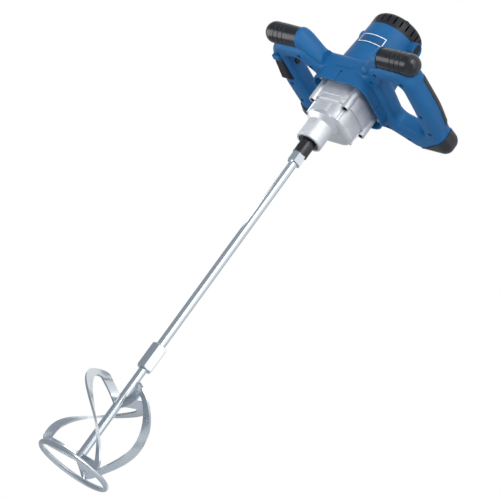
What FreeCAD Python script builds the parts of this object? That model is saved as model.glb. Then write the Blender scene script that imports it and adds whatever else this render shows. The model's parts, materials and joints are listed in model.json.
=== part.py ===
import FreeCAD, Part
import math
import os

Vec = FreeCAD.Vector
ORIGIN = Vec(0, 0, 0)
X_AXIS = Vec(1, 0, 0)
Y_AXIS = Vec(0, 1, 0)
Z_AXIS = Vec(0, 0, 1)

# Fits and tool overrun
overrun = 2.0
seat_gap = 0.05
running_gap = 0.05
free_gap = 0.5

# Clamping neck and gear case
neck_diameter = 43.0
neck_length = 33.0
neck_lip = 1.2
neck_bore_diameter = 35.0
motor_offset = 18.5
case_half_width = 36.5
case_corner_round = 24.5
case_wall = 3.5
case_floor = 5.0
case_edge_round = 9.0
shoulder_height = 7.0
shoulder_width = 5.0
shoulder_return = 10.0
flange_width = 3.0
rear_case_width = 4.0
flange_height = 8.5
lug_spacing = 65.0
lug_diameter = 13.0
lug_height = 10.0
rear_case_height = 29.0
rear_plate = 8.0
ear_reach = 57.5
ear_diameter = 8.6
ear_height = 3.5
case_rib_width = 7.0
case_rib_height = 1.5
gear_room = 2.2

# Gear train
first_module = 0.7
armature_teeth = 9
layshaft_gear_teeth = 45
second_module = 0.9
layshaft_pinion_teeth = 10
spindle_gear_teeth = 30
tooth_backlash = 0.22
pressure_angle = math.radians(20)
addendum_share = 0.85
dedendum_share = 1.25
bush_boss_height = 3.5
level_gap = 1.5
spindle_gear_width = 11.0
stage_gap = 8.0
layshaft_gear_width = 10.0
layshaft_diameter = 8.0
journal_diameter = 5.0
journal_length = 5.0
bush_wall = 2.0

# Spindle and its bearings
spindle_diameter = 24.0
spindle_reach = 26.0
spindle_flat_width = 21.0
spindle_flat_height = 12.0
shank_diameter = 17.0
gear_seat_diameter = 14.0
thread_diameter = 14.0
thread_depth = 22.0
seal_height = 4.0
spindle_bearing_height = 10.0
spacer_wall = 2.5
circlip_height = 1.2
circlip_width = 2.0

# Frame with the two handles
handle_half_width = 150.0
handle_front = 63.0
handle_rear = 125.0
handle_rise = 51.5
frame_height = 40.0
frame_fall = 7.0
frame_edge_round = 13.0
opening_edge_round = 11.5
housing_wall = 3.0
body_half_width = 54.0
body_corner_round = 27.0
skirt_drop = 15.0
partition_height = 4.5
slit_width = 1.0
slit_end_diameter = 3.6
front_bar_length = 34.0
front_bar_height = 4.0
front_bar_proud = 1.3

# Plan of the frame on the right: shares of the half width and of the front or rear reach, and corner rounds
# as shares of the frame height. A negative reach share is towards the front.
outline_shares = [
    (0.320, -0.571, 0.50), (0.440, -1.000, 0.42), (0.925, -1.000, 0.75), (0.990, 0.220, 4.00),
    (0.965, 0.655, 0.80), (1.005, 0.820, 0.40), (0.985, 0.952, 0.37), (0.570, 0.968, 0.75),
    (0.280, 0.736, 0.62)]
opening_shares = [
    (0.420, -0.190, 0.35), (0.560, -0.603, 0.35), (0.765, -0.603, 0.40), (0.770, 0.160, 3.75),
    (0.745, 0.720, 0.38), (0.393, 0.560, 0.35)]
grip_x_share = 0.860

# Motor barrel, brush bosses and end cap
barrel_foot_diameter = 99.0
barrel_top_diameter = 87.0
stator_rib_height = 4.0
boss_diameter = 25.0
boss_reach = 53.5
cover_width = 13.0
cover_height = 21.0
cover_depth = 4.0
cover_recess = 1.0
cap_height = 26.0
cap_wall = 2.5
cap_edge_round = 11.0
cap_slot_count = 24
cap_slot_width = 2.6
cap_slot_height = 15.0
cap_screw_radius = 37.0
plate_height = 19.0
plate_below_top = 25.0
plate_thickness = 0.6
plate_turn = -85.0
plate_span = 58.0

# Motor
fan_gap = 3.0
fan_height = 11.0
fan_diameter = 66.0
fan_blade_count = 11
fan_blade_thickness = 1.6
fan_plate = 2.0
core_gap = 10.5
core_length = 54.0
core_diameter = 46.0
core_slot_count = 12
core_slot_diameter = 5.0
air_gap = 0.8
stator_diameter = 73.0
winding_height = 9.0
winding_thickness = 7.0
winding_span = 130.0
commutator_gap = 17.0
commutator_length = 22.0
commutator_diameter = 26.0
motor_shaft_diameter = 10.0
motor_shaft_step = 1.0
lower_bearing_diameter = 26.0
lower_bearing_height = 9.0
upper_bearing_diameter = 22.0
upper_bearing_height = 7.0
upper_bearing_gap = 6.0
bearing_boss_wall = 3.0
holder_width = 11.0
holder_height = 13.0
brush_width = 7.0
brush_height = 9.0
brush_length = 16.0
brush_lift = 0.4

# Rubber pieces
horn_axis_front = 65.0
horn_axis_rise = 4.5
horn_diameter = 35.0
horn_root_diameter = 34.0
horn_root_x = 80.0
horn_tip_x = 150.0
horn_groove = 0.8
horn_groove_count = 3
horn_groove_pitch = 9.0
horn_groove_start = 27.0
collar_diameter = 36.6
arm_root_x = 40.0
arm_root_front = 34.0
arm_root_diameter = 27.0
arm_stations = 6
bumper_turn = 59.5
bumper_distance = 147.6
bumper_proud = 1.5
strip_front = 32.0
strip_rear = 68.0
strip_rise = 8.5
strip_height = 10.5
strip_proud = 1.0
strip_depth = 1.2

# Trigger, lock button and switch
trigger_front = 28.0
trigger_length = 46.0
trigger_slant = 9.0
trigger_width = 14.5
trigger_drop = 6.5
trigger_front_drop = 1.5
trigger_rise = 6.0
trigger_round = 2.5
pivot_inset = 4.0
pivot_rise = 6.0
pivot_cover = 4.0
pin_diameter = 3.0
pin_ear_thickness = 2.5
pin_ear_half = 4.0
guard_length = 9.0
guard_drop = 4.5
guard_gap = 2.5
switch_width = 9.4
switch_front = 32.0
switch_length = 46.0
switch_bottom_rise = 12.5
switch_height = 18.0
switch_rib_thickness = 3.0
spring_diameter = 8.0
spring_wall = 1.0
spring_from_pivot = 24.0
spring_reach = 6.7
spring_pocket_diameter = 10.4
spring_pocket_depth = 6.2
button_width = 11.0
button_height = 8.0
button_y = -8.0
button_proud = 2.5
button_length = 8.2
button_flange = 1.6
button_flange_thickness = 1.6
button_bore_diameter = 6.0
button_bore_depth = 5.2
button_spring_diameter = 4.8
button_spring_wall = 0.7
button_spring_length = 5.2

# Screws
diagonals = (45, 135, 225, 315)
screw_diameter = 3.8
screw_head_diameter = 6.8
screw_head_height = 3.0
screw_recess_diameter = 7.2
screw_recess_depth = 9.0
screw_grip = 13.0
screw_boss_diameter = 9.0
case_screw_diameter = 5.0
case_screw_head_diameter = 8.5
case_screw_head_height = 5.0
case_screw_grip = 12.0
case_screw_socket = 4.0
ear_screw_head_height = 2.5
ear_screw_grip = 4.0
cap_screw_grip = 11.0
cap_screw_recess = 12.0
# Screw places on the right half: shares of the half width and of the front or rear reach
screw_shares = [
    (0.400, -0.476), (0.505, -0.800), (0.820, -0.680), (0.865, 0.230), (0.865, 0.560),
    (0.507, 0.800), (0.293, 0.640)]

# Cable inlet
inlet_diameter = 13.0
inlet_bore_diameter = 8.0
inlet_length = 10.0
inlet_flange = 0.8
inlet_flange_thickness = 2.5

# Stirrer
hex_head_width = 20.0
hex_head_height = 17.0
rod_diameter = 14.0
coupling_width = 22.0
coupling_height = 42.0
hexagon_turn = 2.5
coupling_from_spindle = 372.0
coupling_web = 3.0
coupling_chamfer = 2.0
paddle_shaft_diameter = 13.0
ring_diameter = 112.0
ring_rod_diameter = 8.0
ring_from_coupling = 173.7
shaft_above_ring = 14.0
blade_count = 3
blade_width = 13.0
blade_thickness = 3.2
blade_outer_radius = 65.7
blade_hub_rise = 112.2
blade_arm_rise = 33.5
blade_arm_share = 0.96
blade_foot_rise = 7.3
blade_foot_share = 0.905
blade_foot_arm_rise = 7.0
blade_corner_round = 13.0
blade_side_round = 253.0
blade_foot_round = 8.0
blade_first_turn = -32.8
blade_twist = 136.0
blade_twist_ease = 0.33
blade_runs = 5
blade_stations = 56

# Levels, from the neck upwards
floor_z = neck_length + shoulder_height
chamber_z = floor_z + case_floor
spindle_gear_z = chamber_z + bush_boss_height + level_gap
spindle_gear_top = spindle_gear_z + spindle_gear_width
layshaft_gear_z = spindle_gear_top + stage_gap
layshaft_gear_top = layshaft_gear_z + layshaft_gear_width
joint_z = layshaft_gear_top + level_gap
rear_case_top = joint_z + rear_case_height
partition_z = rear_case_top + seat_gap
partition_top = partition_z + partition_height
parting_z = joint_z + handle_rise
frame_low = parting_z - frame_height / 2
frame_high = parting_z + frame_height / 2
skirt_low = frame_low - skirt_drop
fan_z = partition_top + fan_gap
core_z = fan_z + fan_height + core_gap
core_top = core_z + core_length
commutator_z = core_top + commutator_gap
brush_z = commutator_z + commutator_length / 2
barrel_top = brush_z + holder_height / 2
cap_top = barrel_top + cap_height
upper_bearing_z = commutator_z + commutator_length + upper_bearing_gap
upper_bearing_top = upper_bearing_z + upper_bearing_height
spindle_low = -spindle_reach
coupling_top = spindle_low - coupling_from_spindle
coupling_low = coupling_top - coupling_height
ring_z = coupling_low - ring_from_coupling
shaft_low = ring_z + shaft_above_ring
horn_z = parting_z + horn_axis_rise
grip_x = handle_half_width * grip_x_share
frame_bottom_of_cut = skirt_low - overrun


def cylinder(diameter, low, high, x=0, y=0):
    return Part.makeCylinder(diameter / 2, high - low, Vec(x, y, low))


def tube(outer, inner, low, high, x=0, y=0):
    bore = cylinder(inner, low - overrun, high + overrun, x, y)
    return cylinder(outer, low, high, x, y).cut(bore)


def block(low, high):
    size = high - low
    return Part.makeBox(size.x, size.y, size.z, low)


def bar_along_x(diameter, low, high, y, z):
    return Part.makeCylinder(diameter / 2, high - low, Vec(low, y, z), X_AXIS)


def bar_along_y(diameter, low, high, x, z):
    return Part.makeCylinder(diameter / 2, high - low, Vec(x, low, z), Y_AXIS)


def mirrored(shape):
    return shape.mirror(ORIGIN, X_AXIS)


def both_sides(shape):
    return [shape, mirrored(shape)]


def joined(shapes):
    return shapes[0].fuse(shapes[1:]).removeSplitter()


def group(shapes):
    return Part.makeCompound(shapes)


def polar(radius, degrees, x=0, y=0):
    turn = math.radians(degrees)
    return x + radius * math.cos(turn), y + radius * math.sin(turn)


def corner_arc(before, corner, after, radius):
    # Start, middle and end of the arc that rounds one corner between its neighbours
    back = (before - corner).normalize()
    onward = (after - corner).normalize()
    half = back.getAngle(onward) / 2
    reach = radius / math.tan(half)
    bisector = (back + onward).normalize()
    middle = corner + bisector * (radius / math.sin(half) - radius)
    return corner + back * reach, middle, corner + onward * reach


def rounded_wire(corners, rounds):
    # Closed wire through the corners, each turned by an arc of its own radius
    count = len(corners)
    arcs = [corner_arc(corners[i - 1], corners[i], corners[(i + 1) % count], rounds[i])
            for i in range(count)]
    edges = []
    for index, (start, middle, end) in enumerate(arcs):
        edges.append(Part.Arc(start, middle, end).toShape())
        edges.append(Part.LineSegment(end, arcs[(index + 1) % count][0]).toShape())
    return Part.Wire(edges)


def plan_point(x_share, y_share):
    reach = handle_front if y_share < 0 else handle_rear
    return Vec(x_share * handle_half_width, y_share * reach, 0)


def plan_wire(shares, both):
    corners = [plan_point(x, y) for x, y, turn in shares]
    rounds = [turn * frame_height for x, y, turn in shares]
    if both:
        corners += [Vec(-c.x, c.y, 0) for c in reversed(corners)]
        rounds += list(reversed(rounds))
    return rounded_wire(corners, rounds)


def offset_wire(wire, grow):
    return wire.makeOffset2D(grow) if grow else wire


def frame_top(y):
    # The top of the frame falls towards the rear
    return frame_high - frame_fall * (y + handle_front) / (handle_rear + handle_front)


def rim_edges(shape, wires, grow):
    # Edges of the frame's underside and top that follow one of the plan wires
    found = []
    for edge in shape.Edges:
        middle = edge.valueAt((edge.FirstParameter + edge.LastParameter) / 2)
        ends = [vertex.Point for vertex in edge.Vertexes] + [middle]
        on_low = all(abs(p.z - frame_low + grow) < seat_gap for p in ends)
        on_top = all(abs(p.z - frame_top(p.y) - grow) < seat_gap for p in ends)
        if not on_low and not on_top:
            continue
        spot = Part.Vertex(Vec(middle.x, middle.y, 0))
        if min(spot.distToShape(wire)[0] for wire in wires) < seat_gap:
            found.append(edge)
    return found


def above_frame(grow):
    # Everything above the sloping top
    reach = handle_half_width + handle_rear
    corners = [Vec(-reach, -reach, frame_top(-reach) + grow), Vec(-reach, reach, frame_top(reach) + grow),
               Vec(-reach, reach, cap_top), Vec(-reach, -reach, cap_top)]
    return Part.Face(Part.makePolygon(corners + [corners[0]])).extrude(Vec(2 * reach, 0, 0))


def frame_block(grow):
    # The frame with both finger openings, grown or shrunk all round by one amount
    outline = offset_wire(plan_wire(outline_shares, True), grow)
    right = offset_wire(plan_wire(opening_shares, False), -grow)
    openings = both_sides(right)
    height = Vec(0, 0, frame_height + 2 * grow + frame_fall)
    solid = Part.Face(outline).extrude(height)
    for opening in openings:
        solid = solid.cut(Part.Face(opening).extrude(height))
    solid.translate(Vec(0, 0, frame_low - grow))
    solid = solid.cut(above_frame(grow))
    solid = solid.makeFillet(frame_edge_round + grow, rim_edges(solid, [outline], grow))
    return solid.makeFillet(opening_edge_round + grow, rim_edges(solid, openings, grow))


def body_prism(half_width, corner_round, low, high):
    corners = [Vec(x * half_width, motor_offset + y * half_width, low)
               for x, y in ((-1, -1), (1, -1), (1, 1), (-1, 1))]
    wire = rounded_wire(corners, [corner_round] * len(corners))
    return Part.Face(wire).extrude(Vec(0, 0, high - low))


def barrel_cone(grow, low, high):
    # Conical motor barrel between two levels, grown or shrunk in radius
    slope = (barrel_top_diameter - barrel_foot_diameter) / 2 / (barrel_top - frame_high)
    foot = barrel_foot_diameter / 2 + grow
    radius_low = foot + slope * (low - frame_high)
    radius_high = foot + slope * (high - frame_high)
    return Part.makeCone(radius_low, radius_high, high - low, Vec(0, motor_offset, low))


def horn_form(grow):
    # Bullet along X with a spherical nose
    root = horn_root_diameter / 2 + grow
    full = horn_diameter / 2 + grow
    swell_x = horn_root_x + (horn_tip_x - horn_root_x) / 3
    nose_x = horn_tip_x + grow - full
    nose_mid = full * math.sin(math.radians(45))
    start_x = horn_root_x - grow
    points = [Vec(start_x, 0, 0), Vec(start_x, root, 0), Vec(swell_x, full, 0), Vec(nose_x, full, 0)]
    edges = [Part.LineSegment(points[i], points[i + 1]).toShape() for i in range(3)]
    tip = Vec(horn_tip_x + grow, 0, 0)
    edges.append(Part.Arc(points[3], Vec(nose_x + nose_mid, nose_mid, 0), tip).toShape())
    edges.append(Part.LineSegment(tip, points[0]).toShape())
    solid = Part.Face(Part.Wire(edges)).revolve(ORIGIN, X_AXIS, 360)
    solid.translate(Vec(0, -horn_axis_front, horn_z))
    return solid


def horn():
    solid = horn_form(0)
    for index in range(horn_groove_count):
        x = horn_root_x + horn_groove_start + index * horn_groove_pitch
        ring = Part.makeTorus(horn_diameter / 2, horn_groove, Vec(x, -horn_axis_front, horn_z), X_AXIS)
        solid = solid.cut(ring)
    return solid


def collar():
    # Round arm that carries the horn and swings back and down into the body
    rings = []
    for step in range(arm_stations):
        along = step / (arm_stations - 1)
        ease = along * along * (3 - 2 * along)
        centre = Vec(horn_root_x + (arm_root_x - horn_root_x) * along,
                     (horn_axis_front - arm_root_front) * ease - horn_axis_front,
                     horn_z - horn_axis_rise * ease)
        radius = (collar_diameter + (arm_root_diameter - collar_diameter) * ease) / 2
        rings.append(Part.Wire(Part.makeCircle(radius, centre, X_AXIS)))
    return Part.makeLoft(rings, True, False)


def bumper_space(grow):
    # Everything behind the slanting plane that the right bumper covers
    span = handle_half_width + handle_rear
    low = Vec(bumper_distance - grow, -span, frame_low - overrun - bumper_proud)
    high = Vec(bumper_distance + span, span, frame_high + overrun + bumper_proud)
    space = block(low, high)
    space.rotate(ORIGIN, Z_AXIS, bumper_turn)
    return space


def strip_space():
    low = parting_z + strip_rise
    space = block(Vec(grip_x, -strip_front, low),
                  Vec(handle_half_width + handle_rear, strip_rear, low + strip_height))
    fall = math.degrees(math.atan2(frame_fall, handle_front + handle_rear))
    space.rotate(Vec(0, -handle_front, low), X_AXIS, -fall)
    return space


def screw_places():
    places = [plan_point(x, y) for x, y in screw_shares]
    return places + [Vec(-p.x, p.y, 0) for p in places]


def brush_boss():
    solid = bar_along_x(boss_diameter, 0, boss_reach, motor_offset, brush_z)
    above = cylinder(barrel_top_diameter + free_gap, barrel_top, brush_z + boss_diameter, 0, motor_offset)
    return solid.cut(above)


def cover_form(gap, low, high):
    # Oval plug along X: two round ends joined by a straight run
    half_run = (cover_height - cover_width) / 2
    ends = [bar_along_x(cover_width + 2 * gap, low, high, motor_offset, brush_z + side * half_run)
            for side in (-1, 1)]
    half = cover_width / 2 + gap
    middle = block(Vec(low, motor_offset - half, brush_z - half_run),
                   Vec(high, motor_offset + half, brush_z + half_run))
    return joined(ends + [middle])


def holder_form(gap, low, high):
    half_w = holder_width / 2 + gap
    half_h = holder_height / 2 + gap
    return block(Vec(low, motor_offset - half_w, brush_z - half_h),
                 Vec(high, motor_offset + half_w, brush_z + half_h))


def button_form(grow, low, high):
    # Oval lock button along X on the inner wall of the left grip
    run = (button_width - button_height) / 2
    diameter = button_height + 2 * grow
    ends = [bar_along_x(diameter, low, high, button_y + side * run, parting_z) for side in (-1, 1)]
    middle = block(Vec(low, button_y - run, parting_z - diameter / 2),
                   Vec(high, button_y + run, parting_z + diameter / 2))
    return joined(ends + [middle])


def case_corners(reach):
    half = reach / math.sqrt(2)
    return [(x * half, motor_offset + y * half) for x in (-1, 1) for y in (-1, 1)]


def inner_wall_x():
    # The opening side of the left grip, from the opening's straight run
    return -opening_shares[3][0] * handle_half_width


def housing_shell():
    # Both housing halves in one piece, before the parting cut
    outer = frame_block(0)
    solids = [outer, body_prism(body_half_width, body_corner_round, skirt_low, parting_z)]
    solids.append(barrel_cone(0, parting_z, barrel_top))
    solids += both_sides(collar())
    solids += both_sides(brush_boss())
    half_bar = front_bar_length / 2
    front_y = motor_offset - body_half_width
    solids.append(block(Vec(-half_bar, front_y - front_bar_proud, parting_z - 2 * front_bar_height),
                        Vec(half_bar, motor_offset, parting_z - front_bar_height)))
    guard_y = -trigger_front - guard_gap
    half_guard = trigger_width / 2
    guard = block(Vec(-grip_x - half_guard, guard_y - guard_length, frame_low - guard_drop),
                  Vec(-grip_x + half_guard, guard_y, parting_z))
    lower_edges = [e for e in guard.Edges if abs(e.BoundBox.ZMax - frame_low + guard_drop) < seat_gap]
    solids.append(guard.makeFillet(guard_length / 3, lower_edges))
    whole = joined(solids)
    for space in both_sides(bumper_space(0)) + both_sides(horn_form(seat_gap)):
        whole = whole.cut(space)
    cavity = frame_block(-housing_wall)
    cavity = cavity.fuse(barrel_cone(-housing_wall, parting_z, barrel_top + overrun))
    inner_half = body_half_width - housing_wall
    inner_round = body_corner_round - housing_wall
    cavity = cavity.fuse(body_prism(inner_half, inner_round, partition_top, parting_z))
    for space in both_sides(bumper_space(housing_wall)) + both_sides(horn_form(housing_wall)):
        cavity = cavity.cut(space)
    shell = whole.cut(cavity)
    shell = shell.cut(body_prism(inner_half, inner_round, frame_bottom_of_cut, partition_z))
    eye = cylinder(fan_diameter, partition_z - overrun, partition_top + overrun, 0, motor_offset)
    shell = shell.cut(eye)
    pillars = []
    for place in screw_places():
        pillar = cylinder(screw_boss_diameter, frame_low, frame_high, place.x, place.y)
        pillars.append(pillar.common(whole))
    for x, y in case_corners(ear_reach):
        pillars.append(cylinder(screw_boss_diameter, partition_z, partition_top + ear_screw_grip, x, y))
    low_rib = tube(barrel_foot_diameter, stator_diameter + 2 * seat_gap, frame_high,
                   frame_high + stator_rib_height, 0, motor_offset)
    high_rib = tube(barrel_foot_diameter, stator_diameter + 2 * seat_gap, core_top - 2 * stator_rib_height,
                    core_top - stator_rib_height, 0, motor_offset)
    body_core = barrel_cone(-housing_wall / 2, parting_z, barrel_top)
    pillars += [low_rib.common(body_core), high_rib.common(body_core)]
    for turn in diagonals:
        x, y = polar(cap_screw_radius, turn, 0, motor_offset)
        pillar_low = barrel_top - cap_screw_grip - level_gap
        pillars.append(cylinder(screw_boss_diameter, pillar_low, barrel_top, x, y).common(body_core))
    return shell.fuse(pillars)


def housing_cuts():
    # Holes through the housing walls: slits, screws, brushes, strips, inlet, trigger and button
    slit = block(Vec(body_half_width - housing_wall - overrun, -slit_width / 2, frame_bottom_of_cut),
                 Vec(body_half_width + overrun, slit_width / 2, frame_low + slit_end_diameter))
    eye = bar_along_x(slit_end_diameter, body_half_width - housing_wall - overrun, body_half_width + overrun,
                      0, frame_low + slit_end_diameter)
    cuts = []
    for turn in (0, -90, 180):
        for shape in (slit, eye):
            placed = shape.copy()
            placed.rotate(ORIGIN, Z_AXIS, turn)
            placed.translate(Vec(0, motor_offset, 0))
            cuts.append(placed)
    for x, y in case_corners(ear_reach):
        cuts.append(cylinder(case_screw_diameter + 2 * seat_gap, partition_z - overrun,
                             partition_z + ear_screw_grip + seat_gap, x, y))
    for place in screw_places():
        recess_top = frame_low + screw_recess_depth
        cuts.append(cylinder(screw_recess_diameter, frame_bottom_of_cut, recess_top, place.x, place.y))
        cuts.append(cylinder(screw_diameter + 2 * seat_gap, recess_top - overrun,
                             recess_top + screw_grip + free_gap, place.x, place.y))
    for turn in diagonals:
        x, y = polar(cap_screw_radius, turn, 0, motor_offset)
        cuts.append(cylinder(screw_diameter + 2 * seat_gap, barrel_top - cap_screw_grip - free_gap,
                             barrel_top + overrun, x, y))
    cuts += both_sides(cover_form(seat_gap, boss_reach - cover_recess - cover_depth, boss_reach + overrun))
    cuts += both_sides(holder_form(seat_gap, 0, boss_reach))
    inlet_y = outline_shares[-1][1] * handle_rear
    cuts.append(bar_along_y(inlet_diameter + 2 * seat_gap, inlet_y - housing_wall - overrun,
                            inlet_y + overrun, 0, parting_z))
    cuts.append(bar_along_y(inlet_diameter + 2 * inlet_flange + 2 * seat_gap, inlet_y - inlet_length,
                            inlet_y - housing_wall, 0, parting_z))
    half = trigger_width / 2 + free_gap
    cuts.append(block(Vec(-grip_x - half, -trigger_front - guard_gap + free_gap, frame_low - guard_drop),
                      Vec(-grip_x + half, trigger_length - trigger_front + free_gap,
                          frame_low + trigger_rise + overrun)))
    wall_x = inner_wall_x()
    cuts.append(button_form(free_gap, wall_x - housing_wall - overrun, wall_x + overrun))
    return cuts


def pivot_place():
    return pivot_inset - trigger_front, frame_low + pivot_rise


def trigger_ears():
    # Two ribs of the lower housing that hold the ends of the trigger pin
    pivot_y, pivot_z = pivot_place()
    inner = trigger_width / 2 + free_gap
    ears = []
    for side in (-1, 1):
        edges = sorted((-grip_x + side * inner, -grip_x + side * (inner + pin_ear_thickness)))
        ear = block(Vec(edges[0], pivot_y - pin_ear_half, frame_low),
                    Vec(edges[1], pivot_y + pin_ear_half, pivot_z + pin_ear_half))
        ears.append(ear.common(frame_block(0)))
    return ears


def switch_ribs():
    # Two ribs of the upper housing that the switch module is seated on
    top = switch_top() + seat_gap
    ribs = []
    for y in (-switch_front + switch_rib_thickness, switch_length - switch_front - 2 * switch_rib_thickness):
        rib_top = frame_top(y + switch_rib_thickness) - housing_wall / 2
        ribs.append(block(Vec(-grip_x - switch_width / 4, y, top),
                          Vec(-grip_x + switch_width / 4, y + switch_rib_thickness, rib_top)))
    return ribs


def switch_top():
    return frame_low + switch_bottom_rise + switch_height


def housing_halves():
    shell = housing_shell().cut(group(housing_cuts()))
    strips = both_sides(strip_space().common(shell).cut(frame_block(-strip_depth)))
    shell = shell.cut(group(strips))
    reach = handle_half_width + handle_rear
    below = block(Vec(-reach, -reach, frame_bottom_of_cut), Vec(reach, reach, parting_z))
    lower = shell.common(below).fuse(trigger_ears())
    pivot_y, pivot_z = pivot_place()
    lower = lower.cut(bar_along_x(pin_diameter + 2 * seat_gap, -grip_x - reach, 0, pivot_y, pivot_z)
                      .common(group(trigger_ears())))
    upper = shell.cut(below).fuse(switch_ribs())
    return lower, upper


def grip_strip():
    grown = frame_block(strip_proud)
    return strip_space().common(grown).cut(frame_block(seat_gap - strip_depth)).cut(bumper_space(seat_gap))


def bumper():
    return frame_block(bumper_proud).common(bumper_space(0))


def end_cap():
    cap = cylinder(barrel_top_diameter, barrel_top, cap_top, 0, motor_offset)
    cap = cap.makeFillet(cap_edge_round, [e for e in cap.Edges if abs(e.BoundBox.ZMin - cap_top) < seat_gap])
    inner_top = cap_top - cap_wall
    inside = cylinder(barrel_top_diameter - 2 * cap_wall, barrel_top - overrun, inner_top, 0, motor_offset)
    rim = [e for e in inside.Edges if abs(e.BoundBox.ZMin - inner_top) < seat_gap]
    cap = cap.cut(inside.makeFillet(cap_edge_round - cap_wall, rim))
    slot_low = cap_top - cap_edge_round / 2 - cap_slot_height
    for index in range(cap_slot_count):
        turn = 360.0 / cap_slot_count * (index + 0.5)
        slot = block(Vec(barrel_top_diameter / 2 - cap_wall - free_gap, -cap_slot_width / 2, slot_low),
                     Vec(barrel_top_diameter, cap_slot_width / 2, slot_low + cap_slot_height))
        slot.rotate(ORIGIN, Z_AXIS, turn)
        slot.translate(Vec(0, motor_offset, 0))
        cap = cap.cut(slot)
    seat_outer = upper_bearing_diameter + 2 * bearing_boss_wall
    posts = [cylinder(seat_outer, upper_bearing_z, inner_top + cap_wall / 2, 0, motor_offset)]
    form = cylinder(barrel_top_diameter - cap_wall, barrel_top, inner_top, 0, motor_offset)
    for turn in diagonals:
        x, y = polar(cap_screw_radius, turn, 0, motor_offset)
        posts.append(cylinder(screw_boss_diameter, barrel_top, inner_top, x, y).common(form))
    cap = joined([cap] + posts)
    seat = cylinder(upper_bearing_diameter + 2 * seat_gap, upper_bearing_z - overrun,
                    upper_bearing_top + seat_gap, 0, motor_offset)
    cap = cap.cut(seat)
    for turn in diagonals:
        x, y = polar(cap_screw_radius, turn, 0, motor_offset)
        cap = cap.cut(cylinder(screw_recess_diameter, cap_top - cap_screw_recess, cap_top + overrun, x, y))
        cap = cap.cut(cylinder(screw_diameter + 2 * seat_gap, barrel_top - overrun, cap_top, x, y))
    return cap


def name_plate():
    low = barrel_top - plate_below_top - plate_height
    high = barrel_top - plate_below_top
    plate = barrel_cone(plate_thickness, low, high).cut(barrel_cone(seat_gap, low - overrun, high + overrun))
    wedge = Part.makeCylinder(barrel_foot_diameter, high - low, Vec(0, 0, low), Z_AXIS, plate_span)
    wedge.rotate(ORIGIN, Z_AXIS, plate_turn - plate_span / 2)
    wedge.translate(Vec(0, motor_offset, 0))
    return plate.common(wedge)


def layshaft_place():
    # Where the two centre distances meet, on the right of the motor axis
    first = first_module * (armature_teeth + layshaft_gear_teeth) / 2
    second = second_module * (layshaft_pinion_teeth + spindle_gear_teeth) / 2
    y = (second ** 2 - first ** 2 + motor_offset ** 2) / (2 * motor_offset)
    return math.sqrt(second ** 2 - y ** 2), y


def involute(angle):
    return math.tan(angle) - angle


def gear(teeth, module, low, high, x, y, first_tooth):
    # Spur gear with involute flanks, one tooth centred on the given direction
    pitch = teeth * module / 2
    base = pitch * math.cos(pressure_angle)
    tip = pitch + addendum_share * module
    root = pitch - dedendum_share * module
    start = max(base, root)
    half = math.pi / 2 / teeth - tooth_backlash / 2 / pitch
    flank = []
    for step in range(5):
        radius = start + (tip - start) * step / 4
        flank.append((radius, half + involute(pressure_angle) - involute(math.acos(base / radius))))
    if root < base:
        flank.insert(0, (root, flank[0][1]))
    points = []
    for index in range(teeth):
        middle = first_tooth + 2 * math.pi * index / teeth
        side = [(radius, middle - turn) for radius, turn in flank]
        side += [(radius, middle + turn) for radius, turn in reversed(flank)]
        points += [Vec(x + r * math.cos(turn), y + r * math.sin(turn), low) for r, turn in side]
    wire = Part.makePolygon(points + [points[0]])
    return Part.Face(wire).extrude(Vec(0, 0, high - low))


def case_prism(grow, low, high):
    return body_prism(case_half_width + grow, case_corner_round + grow, low, high)


def spindle_gear_tip():
    return second_module * (spindle_gear_teeth / 2 + addendum_share)


def neck_form():
    # Neck, its shoulder and the boss that closes the case in front of the spindle gear
    neck_radius = neck_diameter / 2
    shoulder_radius = neck_radius + shoulder_width
    boss_radius = spindle_gear_tip() + gear_room + case_wall
    boss_top = spindle_gear_top + gear_room + case_wall
    solids = [cylinder(neck_diameter, 0, floor_z),
              Part.makeCone(neck_radius - neck_lip, neck_radius, neck_lip, Vec(0, 0, -neck_lip)),
              Part.makeCone(neck_radius, shoulder_radius, shoulder_height, Vec(0, 0, neck_length)),
              Part.makeCone(shoulder_radius, boss_radius, shoulder_return, Vec(0, 0, floor_z)),
              cylinder(2 * boss_radius, floor_z, boss_top)]
    roof = Part.makeCone(boss_radius, boss_radius - case_wall, case_wall, Vec(0, 0, boss_top))
    return solids + [roof]


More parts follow.
